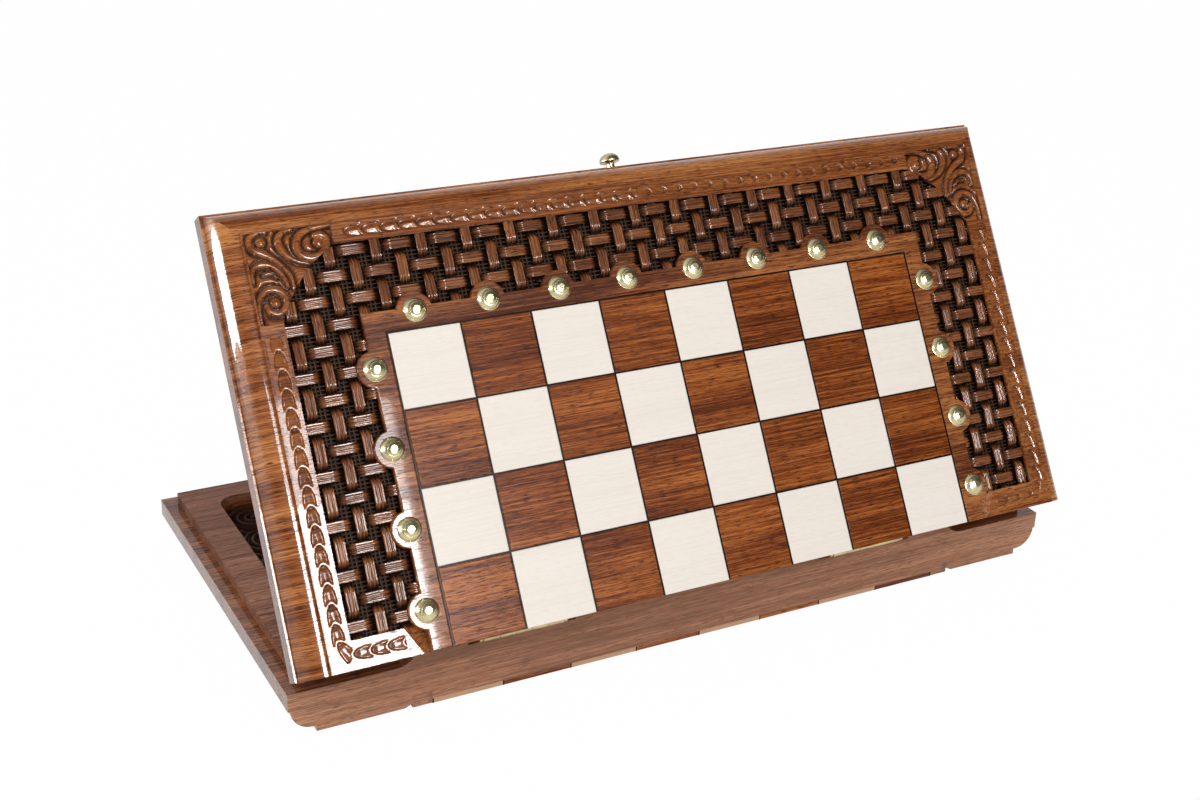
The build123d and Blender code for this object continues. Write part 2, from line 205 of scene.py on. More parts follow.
BAND_SCALE, STREAK_SCALE = (3, 42, 42), (8, 560, 560)
FIBRE_SCALE, PORE_SCALE = (50, 1900, 1900), (130, 2000, 2000)
BAND_SHARE, STREAK_SHARE, FIBRE_SHARE, GRAIN_LIFT = 0.4, 0.62, 0.3, 0.04
GRAIN_RANGE, PORE_RANGE = (0.39, 0.61), (0.58, 0.64)
TONE_STOPS = (0.0, 0.45, 1.0)
PORE_DARKENING, FIBRE_HEIGHT, PORE_DEPTH = 0.85, 0.4, 0.8


def grain(shade, source, tones, figure=1.0):
    """Wood grain along X. Gives its colour, its height and its pores.

    The colour runs through three tones with the sum of broad bands, narrow streaks and fibres, each
    times its share, less the bands' average. The pores take the fourth tone.
    """
    bands = shade.noise(shade.place(source, BAND_SCALE), 2.0, 0.5, 0.3)
    streaks = shade.noise(shade.place(source, STREAK_SCALE), 4.0, 0.75)
    fibres = shade.noise(shade.place(source, FIBRE_SCALE), 2.0, 0.5)
    pores = shade.noise(shade.place(source, PORE_SCALE), 1.0, 0.5)
    share = BAND_SHARE * figure
    mix = bands * share + streaks * STREAK_SHARE + fibres * FIBRE_SHARE - (share / 2 - GRAIN_LIFT)
    stops = [(at, paint(tone)) for at, tone in zip(TONE_STOPS, tones)]
    colour = shade.node("ShaderNodeValToRGB", {"stops": stops}, {0: mix.clipped(*GRAIN_RANGE)})
    pits = pores.clipped(*PORE_RANGE)
    colour = shade.blend(pits * PORE_DARKENING, colour, paint(tones[3]))
    return colour, fibres * FIBRE_HEIGHT - pits * PORE_DEPTH, pits


WALNUT_TONES = ((76, 35, 16), (126, 69, 36), (174, 110, 62), (42, 19, 10))
RIM_TONES = ((98, 58, 42), (146, 94, 70), (184, 132, 102), (66, 38, 30))
# The hinge side's paler tone: partly the wood's own, partly painted light.
FRONT_TONE_AND_LIGHT = (212, 168, 136)
# The dark of the carvings' hollows: partly stain, partly painted shade.
STAIN_AND_SHADE = (20, 10, 6)
GLOSS = {"Coat_IOR": 1.3, "Coat_Roughness": 0.04, "Roughness": 0.3, "Specular_IOR_Level": 0.07}
SATIN = {**GLOSS, "Coat_Roughness": 0.25}
BLOTCH_SCALE = (900, 900, 900)


def walnut(name, source, tones, gloss, figure=1.0, dark_in_hollows=False):
    """Lacquered walnut; carved pieces may darken by their own tone per point, down in the carving: partly
    dark stain, partly painted shade.
    """
    shade = Shade(name, **(GLOSS if gloss else SATIN))
    colour, height, pits = grain(shade, source, tones, figure)
    shine = 1.0 - pits * 0.8 if gloss else 0.25 - pits * 0.2
    if dark_in_hollows:
        stain = shade.stain()
        blotches = shade.noise(shade.place(source, BLOTCH_SCALE), 3.0, 0.7)
        dark = (stain * (blotches * 0.5 + 0.8)).clipped(0.0, 1.0)
        colour = shade.blend(dark, colour, paint(STAIN_AND_SHADE))
        shine = shine - stain * 0.75
    bump = shade.bump(height, 0.12 if dark_in_hollows else 0.3)
    return shade.feed(Base_Color=colour, Coat_Weight=shine.clipped(0.0, 1.0), Normal=bump)


joint = frame["joints"][0]
PIN = Vector(joint["pos_m"])
OPEN_ANGLE = math.radians(-joint["range_deg"][0])
MM = 0.001
THICKNESS = 40.6
TRAYS = ("lower", "upper")


def at_home(tray, u, v, w):
    """Tray coordinates in mm, as arrays, made a list of places in the shared frame in metres.

    u runs along the hinge, v away from it and w from the outer face (0) to the rim. The lower
    tray's axes are X, Y and Z. The upper tray is turned half round and leans by the open angle.
    """
    u, v, w = np.broadcast_arrays(*[np.asarray(a, float) for a in (u, v, w)])
    depth = w - THICKNESS
    if tray == "lower":
        x, y, z = u, v, depth
    else:
        sine, cosine = math.sin(OPEN_ANGLE), math.cos(OPEN_ANGLE)
        x, y, z = -u, v * cosine + depth * sine, v * sine - depth * cosine
    return np.stack([x * MM + PIN.x, y * MM + PIN.y, z * MM + PIN.z], axis=-1).reshape(-1, 3)


def patch_faces(rows, columns, start=0, ring=False):
    """Quads of a grid of rows by columns of points; a ring also joins its last column to its first."""
    across = columns if ring else columns - 1
    r, c = np.meshgrid(np.arange(rows - 1), np.arange(across), indexing="ij")
    nearer = r * columns + c
    beside = r * columns + (c + 1) % columns
    return np.stack([nearer, beside, beside + columns, nearer + columns], -1).reshape(-1, 4) + start


def wood_uv(along, across, shift=0.0):
    """A UV in metres, with the grain along its first axis, shifted to another stretch of wood."""
    return (np.stack([along, across], -1) * MM + shift).reshape(-1, 2)


def add_piece(name, points, faces, uv, material, body, node=None, stain=None, flat=False):
    """Makes a mesh from arrays, with its UV map and its tone per point, and rides it on its body."""
    mesh = bpy.data.meshes.new(name)
    mesh.from_pydata(points.tolist(), [], [list(map(int, face)) for face in faces])
    layer = mesh.uv_layers.new(name="grain")
    corners = np.empty(len(mesh.loops), np.int32)
    mesh.loops.foreach_get("vertex_index", corners)
    layer.data.foreach_set("uv", uv[corners].ravel())
    if stain is not None:
        mesh.attributes.new("stain", "FLOAT", "POINT").data.foreach_set("value", stain)
    mesh.polygons.foreach_set("use_smooth", np.full(len(mesh.polygons), not flat))
    mesh.materials.append(material)
    piece = bpy.data.objects.new(name, mesh)
    bpy.context.scene.collection.objects.link(piece)
    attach(piece, body)
    if node:
        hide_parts(node)
    return piece


def dress(node, material):
    """Gives a node of the frame its finish."""
    mesh = frame["nodes"][node].data
    mesh.materials.clear()
    mesh.materials.append(material)


def home_values(shade, tray):
    """The distance x along the hinge, v from the hinge side and w from the outer face, all in mm.

    On the upper tray w grows by the sine of the lean along y and falls by its cosine along z, and
    v grows by its cosine along y and its sine along z.
    """
    lean = 0.0 if tray == "lower" else OPEN_ANGLE
    sine, cosine = math.sin(lean), math.cos(lean)
    place = shade.node("ShaderNodeTexCoord", output="Object")
    x, y, z = (shade.node("ShaderNodeSeparateXYZ", {}, {0: place}, output=i) for i in range(3))
    y, z = (y - PIN.y) * (1 / MM), (z - PIN.z) * (1 / MM)
    v = y * cosine + z * sine
    w = (y * sine - z * cosine if tray == "upper" else z) + THICKNESS
    return x * (1 / MM), v, w


RIM_LEVEL, BOARD_JOINT = 32.8, 178.0
FRONT_FADE = (0.5, 0.3)
CHANNEL_END, CHANNEL_FAR, CHANNEL_NEAR, CHANNEL_DEPTH = 263.5, 261.0, 18.0, 9.0
STAIN_AND_SHADE_STARTS = (2.2, 3.7)


def board_walnut(tray):
    """Gloss outside; satin on the rim and the hinge side, whose paler tone is partly painted light; black on
    the channel's walls, partly stain and partly painted shade.

    Each region is a product of steps in x, v and w. The rim is darker beyond the joint between its
    two boards.
    """
    shade = Shade(f"walnut_{tray}_board", **GLOSS)
    glossy, height, pits = grain(shade, "Object", WALNUT_TONES)
    satin = grain(shade, "Object", RIM_TONES, 0.8)[0]
    x, v, w = home_values(shade, tray)
    rim = w.clipped(RIM_LEVEL, RIM_LEVEL + 0.3) * v.clipped(0.4, 0.6)
    front = v.clipped(*FRONT_FADE)
    flat = (rim + front).clipped(0.0, 1.0)
    beyond_joint = rim * v.clipped(BOARD_JOINT, BOARD_JOINT + 0.4)
    satin = shade.blend(beyond_joint * 0.28, satin, paint(RIM_TONES[0]))
    # The hinge side is lightened: partly the wood's pinker tone, partly painted light.
    satin = shade.blend(front * 0.22, satin, paint(FRONT_TONE_AND_LIGHT))
    colour = shade.blend(flat, glossy, satin)
    end = CHANNEL_END + 0.5
    across = x.clipped(end, end - 0.3) * x.clipped(-end, 0.3 - end)
    along = v.clipped(CHANNEL_NEAR - 0.3, CHANNEL_NEAR) * v.clipped(CHANNEL_FAR + 0.3, CHANNEL_FAR)
    # The channel's walls go black below their top edge: partly stain, partly painted shade.
    down = w.clipped(*STAIN_AND_SHADE_STARTS) * w.clipped(CHANNEL_DEPTH + 0.6, CHANNEL_DEPTH + 0.3)
    deep = down * across * along
    colour = shade.blend(deep, colour, paint(STAIN_AND_SHADE))
    shine = (1.0 - pits * 0.8 - flat * 0.9 - deep * 0.8).clipped(0.0, 1.0)
    return shade.feed(Base_Color=colour, Coat_Weight=shine, Normal=shade.bump(height, 0.3))


board_finish = {tray: board_walnut(tray) for tray in TRAYS}
for tray in TRAYS:
    dress(f"{tray}_board", board_finish[tray])


# The rounded moulding round two ends and the far side, planed on the board's edge. It is laid
# over the board's own moulding as a smooth skin, with mitres at the two far corners.
HALF_LENGTH, WIDTH = 297.2, 293.2
FRAME_DROP = 1.3
OVOLO_RADIUS = 14.5
MOULDING_HEIGHT = 20.0
LEDGE, QUIRK = 2.0, 1.7
LIP = 0.6
SKIN = 0.05
WALL = 0.2


def joined(blocks):
    """Blocks of points, faces, UV and perhaps a tone per point, made one, with their faces counted on."""
    points, faces, *rest = zip(*blocks)
    starts = np.cumsum([0] + [len(part) for part in points]).tolist()
    faces = [[i + start for i in face] for part, start in zip(faces, starts) for face in part]
    return np.concatenate(points), faces, *map(np.concatenate, rest)


def moulding_skin(tray):
    """Profile runs carried along the three edges: lip and step, ledge, quarter round, flat quirk.

    Each profile point is (inset from the edge, w). The quarter round is inset =
    quirk + radius * (1 - sin t), w = height - radius * cos t, for t from 0 to a right angle.
    """
    turn, lip = np.linspace(0, np.pi / 2, 25), np.linspace(0, np.pi / 2, 6)
    radius, foot = OVOLO_RADIUS + SKIN, QUIRK + OVOLO_RADIUS + LEDGE
    ledge_w = MOULDING_HEIGHT - radius
    runs = [
        (foot - SKIN + LIP * (1 - np.sin(lip)), FRAME_DROP - SKIN + LIP * (1 - np.cos(lip))),
        ([foot - SKIN, foot - SKIN], [FRAME_DROP - SKIN + LIP, ledge_w]),
        ([foot, QUIRK + OVOLO_RADIUS], [ledge_w, ledge_w]),
        (QUIRK - SKIN + radius * (1 - np.sin(turn)), MOULDING_HEIGHT - radius * np.cos(turn)),
        ([QUIRK, 0.0], [MOULDING_HEIGHT - SKIN, MOULDING_HEIGHT - SKIN]),
    ]
    blocks = []
    for insets, depth in runs:
        insets, depth = np.array(insets, float), np.array(depth, float)
        reach, far = HALF_LENGTH - insets, WIDTH - insets
        near = np.full_like(far, WALL)
        corners = [(-reach, near), (-reach, far), (reach, far), (reach, near)]
        for side, ((u0, v0), (u1, v1)) in enumerate(zip(corners[:-1], corners[1:])):
            u, v, w = np.stack([u0, u1]), np.stack([v0, v1]), np.stack([depth, depth])
            uv = wood_uv(u, v + (w if side == 1 else 0))
            blocks.append((at_home(tray, u, v, w), patch_faces(2, len(depth)), uv))
    return joined(blocks)


MOULDING_TONES = ((92, 42, 18), (150, 86, 44), (196, 130, 74), (50, 22, 10))
moulding_walnut = walnut("walnut_moulding", "UV", MOULDING_TONES, True)
for tray in TRAYS:
    points, faces, uv = moulding_skin(tray)
    piece = add_piece(f"{tray}_edge_moulding", points, faces, uv, moulding_walnut, f"{tray}_tray")


# The chessboard: thick veneer squares, 50 mm apart, glued down with a black line between them.
# Their edges are eased, so each catches the light along its line.
PITCH = 50.0
LINE = 1.0
TILE_THICKNESS, TILE_SINK = 3.5, 0.05
EASE, EASE_FALL = 0.55, 0.45
EDGE_STEPS = (0.08, 0.22, EASE, 2.5)
SQUARES_LONG, SQUARES_DEEP = 8, 4
VENEER_LENGTH = 9.0
MAPLE_TONES = ((234, 223, 211), (240, 231, 221), (244, 237, 229), (231, 218, 202))
MAPLE_END = (192, 152, 120)
DARK_TONES = ((70, 27, 7), (128, 62, 19), (182, 106, 47), (38, 13, 4))
BLACK_TONES = ((14, 10, 9), (34, 22, 16))
rng = np.random.default_rng(7)


def eased_tile():
    """A square's top: flat, and falling as a parabola over the last part to each edge, then straight down."""
    half = (PITCH - LINE) / 2
    inward = np.array([0.0, 0.0, *EDGE_STEPS])
    line = np.concatenate([-half + inward, [0.0], half - inward[::-1]])
    a, b = np.meshgrid(line, line, indexing="ij")
    edge = np.minimum(half - np.abs(a), half - np.abs(b))
    fall = EASE_FALL * (np.clip(1 - edge / EASE, 0, 1)) ** 2
    skirt = np.zeros_like(a, bool)
    skirt[[0, -1], :] = skirt[:, [0, -1]] = True
    return a, b, np.where(skirt, TILE_THICKNESS - TILE_SINK, fall)


def squares(tray, colour):
    """All squares of one colour, each with its own stretch of veneer."""
    a, b, w = eased_tile()
    blocks = []
    for row in range(SQUARES_DEEP):
        for column in range((row + colour) % 2, SQUARES_LONG, 2):
            u, v = a + (column - (SQUARES_LONG - 1) / 2) * PITCH, b + (row + 0.5) * PITCH
            v = np.where(v < LINE, WALL, v)
            uv = wood_uv(u, v + w, rng.uniform(0, VENEER_LENGTH, 2))
            blocks.append((at_home(tray, u, v, w), patch_faces(*a.shape), uv))
    return joined(blocks)


def maple(name, source, tray=None):
    """Pale maple under gloss lacquer with faint grain; the squares at the hinge have tan ends."""
    shade = Shade(name, **{**GLOSS, "Coat_Weight": 1.0, "Specular_IOR_Level": 0.02})
    colour, height = grain(shade, source, MAPLE_TONES, 0.8)[:2]
    colour = shade.blend(0.45, colour, paint(MAPLE_TONES[1]))
    if tray:
        front = home_values(shade, tray)[1].clipped(*FRONT_FADE)
        colour = shade.blend(front, colour, paint(MAPLE_END))
    return shade.feed(Base_Color=colour, Normal=shade.bump(height, 0.12))


def black_line(name):
    """Dyed black veneer on edge, nearly without figure."""
    shade = Shade(name, Coat_Weight=0.25, **GLOSS)
    speck = shade.noise(shade.place("Object", (300, 300, 300)), 2.0)
    return shade.feed(Base_Color=shade.blend(speck, *map(paint, BLACK_TONES)))


dark_finish = walnut("walnut_squares", "UV", DARK_TONES, True, 0.8)
line_finish = black_line("black_stringing")
for tray in TRAYS:
    square_finish = [maple(f"maple_{tray}_squares", "UV", tray), dark_finish]
    for colour, label in enumerate(("light_squares", "dark_squares")):
        points, faces, uv = squares(tray, colour)
        node = f"{tray}_{label}"
        add_piece(f"{node}_veneer", points, faces, uv, square_finish[colour], f"{tray}_tray", node, flat=True)
    dress(f"{tray}_stringing", line_finish)


# The strip round the chessboard: walnut, with a round lobe behind each tack. Its outer edge is
# rounded over and its wall, down in the channel, is black from the board's finish: partly stain, partly
# painted shade.
STRIP_INNER = 200.5
STRIP_OUTER = 214.4
STRIP_THICKNESS = 9.0
LOBE_RADIUS = 12.0
TACK_PITCH = 51.0
TACK_ROW, TACK_COLUMN = 212.2, 212.5
TACKS_TOP, TACKS_SIDE = 8, 4
ROUND_OVER = 0.9
SHARPEST = 0.3
TACK_ALONG = [(i - (TACKS_TOP - 1) / 2) * TACK_PITCH for i in range(TACKS_TOP)]
TACK_UP = [TACK_PITCH * (j + 0.5) for j in range(TACKS_SIDE)]
TACK_SPOTS = [(u, TACK_ROW) for u in TACK_ALONG]
TACK_SPOTS += [(u, v) for u in (-TACK_COLUMN, TACK_COLUMN) for v in TACK_UP]


def lobed_line(start, end, centres):
    """A straight line from start to end, going round the outside of each circle it meets."""
    start, end = np.array(start, float), np.array(end, float)
    ahead = (end - start) / np.linalg.norm(end - start)
    left = np.array([-ahead[1], ahead[0]])
    run = [start]
    for centre in centres:
        off = (centre - start) @ left
        first = math.acos(max(-1.0, min(1.0, -off / LOBE_RADIUS)))
        for turn in np.linspace(first, -first, 25):
            run.append(np.array(centre) + LOBE_RADIUS * (left * math.cos(turn) - ahead * math.sin(turn)))
    return run


def strip_outline():
    """The strip's outline, counted up the left column, over the top and down the right."""
    reach = STRIP_OUTER
    outline = lobed_line((-reach, WALL), (-reach, reach), [(-TACK_COLUMN, v) for v in TACK_UP])
    outline += lobed_line((-reach, reach), (reach, reach), [(u, TACK_ROW) for u in TACK_ALONG])
    outline += lobed_line((reach, reach), (reach, WALL), [(TACK_COLUMN, v) for v in TACK_UP[::-1]])
    outline += [(reach, WALL), (STRIP_INNER, WALL), (STRIP_INNER, STRIP_INNER)]
    outline += [(-STRIP_INNER, STRIP_INNER), (-STRIP_INNER, WALL)]
    return np.array(outline, float)


def inset(outline, distance):
    """The outline moved inwards: each point along the middle of its two edges' normals.

    It moves by the distance over the cosine of half the turn there, held back at sharp corners.
    """
    before, after = np.roll(outline, 1, 0) - outline, np.roll(outline, -1, 0) - outline
    unit = [edge / np.maximum(np.linalg.norm(edge, axis=1, keepdims=True), 1e-9) for edge in (before, after)]
    inward = np.stack([unit[1][:, 1] - unit[0][:, 1], unit[0][:, 0] - unit[1][:, 0]], -1)
    inward /= np.maximum(np.linalg.norm(inward, axis=1, keepdims=True), 1e-9)
    spread = np.sqrt(np.clip((1 - (unit[0] * unit[1]).sum(1)) / 2, SHARPEST, 1))[:, None]
    return outline + inward * distance / spread


def plate(tray, outline, thickness, radius):
    """A flat plate whose top edge is rounded over: rings inset by r(1 - sin t) at w = r(1 - cos t)."""
    turn = np.linspace(0, np.pi / 2, 5)
    insets = list(radius * (1 - np.sin(turn))) + [0.0]
    depths = list(radius * (1 - np.cos(turn))) + [thickness]
    rings = [inset(outline, amount) for amount in insets]
    flat = np.concatenate([rings[0]] + rings + [rings[-1]])
    count = len(outline)
    w = np.repeat([0.0, *depths, thickness], count)
    faces = [list(range(count))] + patch_faces(len(rings), count, count, ring=True)[:, ::-1].tolist()
    faces += [list(range(count * (len(rings) + 1), count * (len(rings) + 2)))[::-1]]
    return at_home(tray, flat[:, 0], flat[:, 1], w), faces, wood_uv(flat[:, 0], flat[:, 1] + w)


for tray in TRAYS:
    points, faces, uv = plate(tray, strip_outline(), STRIP_THICKNESS, ROUND_OVER)
    node = f"{tray}_border_strip"
    add_piece(f"{node}_lobed", points, faces, uv, board_finish[tray], f"{tray}_tray", node)


# The woven border, carved from walnut to look like basket work: flat ribbed strands that pass over
# and under each other above a black ground, which is itself scored into a small lattice. Strands and
# ground are dark down low: partly stain, partly painted shade.
ROWS = 25.5, 15.4, 16  # the first one's middle, their pitch, how many there are
COLUMNS = -257.5, 15.6, 34
LANES = (ROWS, COLUMNS)
STRAND_HALF_WIDTH, STRAND_THICKNESS, SHOULDER = 3.4, 3.0, 0.96
STRAND_TOP, STRAND_FALL = 2.0, 3.4
GROOVE_DEPTH, EDGE_FALL = 0.55, 0.6
DIP_FLAT, DIP_END = 3.8, 9.4
CUT_ALONG, CUT_DOWN, CUT_SAG = 41.5, 45.0, 5.0
STEPS_PER_CROSSING, SHORTEST_RUN = 14, 6
STRAND_STAIN_AND_SHADE_START, STRAND_STAIN_AND_SHADE_DEPTH, STRAND_STAIN_AND_SHADE = 2.25, 2.6, 0.95
LANE_SHIFT, COLUMN_SHIFT = 0.137, 3.1
RIDGE_OFFSETS = ((-2.6, 0.0, 2.6), (-1.3, 1.5))
RIDGE_TOP, RIDGE_SIDES, RIDGE_RISE = 6.8, (-0.6, -0.35, 0.35, 0.6), 0.15
WEAVE_TONES = ((70, 34, 16), (118, 66, 34), (162, 102, 60), (36, 17, 8))
GROUND_TONES = ((8, 5, 3), (92, 64, 46))


def corner_circle():
    """Centre and radius of the curve that cuts off the channel's far corner, for positive u."""
    low = np.array([CHANNEL_END, CHANNEL_FAR - CUT_DOWN])
    top = np.array([CHANNEL_END - CUT_ALONG, CHANNEL_FAR])
    chord = np.linalg.norm(top - low)
    radius = (chord**2 / 4 + CUT_SAG**2) / (2 * CUT_SAG)
    inward = -np.array([CUT_DOWN, CUT_ALONG]) / chord
    return (low + top) / 2 + inward * (radius - CUT_SAG), radius


def in_channel(u, v):
    """Whether a place lies in the sunk channel: inside its outline and clear of strip and lobes."""
    a = np.abs(u)
    centre, radius = corner_circle()
    inside = (a < CHANNEL_END) & (v < CHANNEL_FAR) & (v > CHANNEL_NEAR)
    inside &= (a > STRIP_OUTER) | (v > STRIP_OUTER)
    cut = (a > CHANNEL_END - CUT_ALONG) & (v > CHANNEL_FAR - CUT_DOWN)
    inside &= ~(cut & (np.hypot(a - centre[0], v - centre[1]) > radius))
    for spot_u, spot_v in TACK_SPOTS:
        inside &= np.hypot(u - spot_u, v - spot_v) > LOBE_RADIUS
    return inside


def free_runs(across, vertical, step, margin):
    """Start and end of each stretch of a strand's middle line that lies in the channel."""
    low, high = (CHANNEL_NEAR, CHANNEL_FAR) if vertical else (-CHANNEL_END, CHANNEL_END)
    places = np.arange(low - 2, high + 2, step)
    fixed = np.full_like(places, across)
    inside = in_channel(fixed, places) if vertical else in_channel(places, fixed)
    steps = np.flatnonzero(np.diff(np.concatenate([[0], inside.astype(int), [0]])))
    pairs = zip(steps[::2], steps[1::2])
    return [(places[a] - margin, places[b - 1] + margin) for a, b in pairs if b - a > SHORTEST_RUN]


def strand(along, start, pitch, over, across):
    """One strand: a bar with three grooves that runs level, and dips under every second crossing.

    The dip is a smooth step, f = 3 e^2 - 2 e^3, of the distance to that crossing. Over the width,
    with t from -1 to 1, the top falls by groove * cos(3 pi t) * (1 - t^8) + edge * t^10.
    """
    lane = (along - start) / pitch - (1 if over else 0)
    away = np.abs(lane - 2 * np.round(lane / 2)) * pitch
    e = np.clip((DIP_END - away) / (DIP_END - DIP_FLAT), 0, 1)
    level = STRAND_TOP + STRAND_FALL * (3 * e**2 - 2 * e**3)
    t = np.concatenate([[-1.0], np.linspace(-SHOULDER, SHOULDER, 13), [1.0]])
    top = GROOVE_DEPTH * np.cos(3 * np.pi * t) * (1 - t**8) + EDGE_FALL * t**10
    offset = np.concatenate([t, [SHOULDER, -SHOULDER]]) * STRAND_HALF_WIDTH
    fall = np.concatenate([top, [STRAND_THICKNESS] * 2])
    s = np.broadcast_to(along[:, None], (len(along), len(offset)))
    return s, across + np.broadcast_to(offset, s.shape), level[:, None] + fall


def weave(tray, vertical):
    """Every strand of one direction, cut off where it meets the channel's walls and the lobes."""
    lane_start, lane_pitch, lanes = LANES[vertical]
    start, pitch = LANES[not vertical][:2]
    blocks = []
    for lane in range(lanes):
        middle = lane_start + lane * lane_pitch
        for low, high in free_runs(middle, vertical, 0.25, 1.0):
            steps = max(4, int((high - low) / pitch * STEPS_PER_CROSSING))
            over = (lane % 2 == 1) != vertical
            s, across, w = strand(np.linspace(low, high, steps), start, pitch, over, middle)
            u, v = (across, s) if vertical else (s, across)
            ring, last = list(range(w.shape[1])), w.size - w.shape[1]
            faces = patch_faces(*w.shape, ring=True).tolist() + [ring[::-1], [last + i for i in ring]]
            if vertical:
                faces = [face[::-1] for face in faces]
            uv = wood_uv(s, across, lane * LANE_SHIFT + (COLUMN_SHIFT if vertical else 0))
            # Deeper parts of the strands darken: partly stain, partly painted shade.
            stain = np.clip((w - STRAND_STAIN_AND_SHADE_START) / STRAND_STAIN_AND_SHADE_DEPTH, 0, 1) ** 0.8 * STRAND_STAIN_AND_SHADE
            blocks.append((at_home(tray, u, v, w), faces, uv, stain.ravel()))
    return joined(blocks)


def lattice(tray):
    """The scored ground: thin ridges in the gaps between the strands, three by two, over a floor coloured
    black, partly stain and partly painted shade.
    """
    bars = []
    for vertical, (start, pitch, lanes) in enumerate(LANES):
        for lane in range(-1, lanes):
            for offset in RIDGE_OFFSETS[vertical]:
                middle = start + (lane + 0.5) * pitch + offset
                bars += [(run, middle, vertical) for run in free_runs(middle, vertical, 0.5, 0.5)]
    blocks = []
    foot = CHANNEL_DEPTH - 0.1
    for (low, high), middle, vertical in bars:
        depth = np.array([foot, RIDGE_TOP, RIDGE_TOP, foot]) - (RIDGE_RISE if vertical else 0)
        s, across = np.broadcast_arrays(np.array([[low], [high]]), middle + np.array(RIDGE_SIDES))
        u, v = (across, s) if vertical else (s, across)
        faces = np.concatenate([patch_faces(2, 4, ring=True), [[3, 2, 1, 0], [4, 5, 6, 7]]])
        faces = faces[:, ::-1] if vertical else faces
        ridge = np.tile([0.0, 1.0, 1.0, 0.0], 2)
        blocks.append((at_home(tray, u, v, depth), faces, wood_uv(u, v), ridge))
    floors = [(-CHANNEL_END, -STRIP_OUTER, CHANNEL_NEAR), (STRIP_OUTER, CHANNEL_END, CHANNEL_NEAR)]
    floors.append((-STRIP_OUTER, STRIP_OUTER, STRIP_OUTER))
    for u0, u1, v0 in floors:
        u, v = np.array([u0, u1, u1, u0]), np.array([v0, v0, CHANNEL_FAR, CHANNEL_FAR])
        points = at_home(tray, u, v, CHANNEL_DEPTH - 0.08)
        blocks.append((points, [[3, 2, 1, 0]], wood_uv(u, v), np.zeros(4)))
    return joined(blocks)


def ground_stain_and_shade(name):
    """Black-brown in the hollows, partly stain and partly painted shade; lighter on top of the scored ridges,
    partly wood rubbed through and partly painted highlight.
    """
    shade = Shade(name, Roughness=0.55, Specular_IOR_Level=0.03)
    patch = shade.noise(shade.place("UV", (700, 700, 700)), 3.0)
    worn_and_lit = (shade.stain() * (patch * 1.6 - 0.2)).clipped(0.0, 1.0)
    return shade.feed(Base_Color=shade.blend(worn_and_lit, *map(paint, GROUND_TONES)))


weave_walnut = walnut("walnut_weave", "UV", WEAVE_TONES, True, 0.6, dark_in_hollows=True)
weave_ground = ground_stain_and_shade("stained_and_shaded_ground")
for tray in TRAYS:
    body = f"{tray}_tray"
    points, faces, uv, ridge = lattice(tray)
    node = f"{tray}_wicker_panel"
    add_piece(f"{node}_ground", points, faces, uv, weave_ground, body, node, ridge, flat=True)
    for vertical, label in ((False, "rows"), (True, "columns")):
        points, faces, uv, stain = weave(tray, vertical)
        piece = add_piece(f"{tray}_weave_{label}", points, faces, uv, weave_walnut, body, stain=stain)


# The leaf chain, cut into the flat frame round the channel: leaf after leaf, each with an arched
# tip, a middle ridge and a tail that follows the tip of the leaf behind it.
FRAME_END, FRAME_FAR = 279.0, 275.0
BAND_INSET, BAND_WIDTH, BAND_STOP, BAND_DEPTH, BAND_GAP = 1.2, 12.5, 208.0, 3.0, 1.0
SIDE_MIDDLE, TOP_MIDDLE, NEAR_MIDDLE = 270.6, 268.2, 9.6
LEAF_PITCH = 12.15
LEAF_HALF_WIDTH, LEAF_LENGTH, LEAF_CUT, LEAF_GAP = 4.0, 10.0, 1.7, 1.5
LEAF_TAIL, LEAF_END, TIP_REACH, EDGE_SHARE = 13.6, 14.0, 4.5, 0.2
EDGE_WALL, TAIL_WALL, GAP_WALL = 0.14, 0.8, 0.08
CUT_SHARES, DARK_SHARES = (0.1, 0.42, 0.48), (0.1, 0.4, 0.6)
THROAT_START, THROAT_END, THROAT_PITCH, THROAT_LEAVES = 230.0, 229.0, 11.1, 4
TURN_SHIFT, TURN_PLACE, TURN_HEADING = 0.6, 18.6, (0.5, 0.866)
SIDE_START, SIDE_LEAVES, TOP_START, TOP_LEAVES = 30.0, 16, 8.0, 18
CARVING_STEP, WALL_SHADE = 0.5, 0.7


def leaf_tips():
    """Tip and heading of each leaf of one end's chain, from the throat round the corner and up."""
    tips = [((THROAT_START + THROAT_PITCH * i, NEAR_MIDDLE), (1, 0)) for i in range(THROAT_LEAVES)]
    tips.append(((SIDE_MIDDLE + TURN_SHIFT, TURN_PLACE), TURN_HEADING))
    return tips + [((SIDE_MIDDLE, SIDE_START + LEAF_PITCH * j), (0, 1)) for j in range(SIDE_LEAVES)]


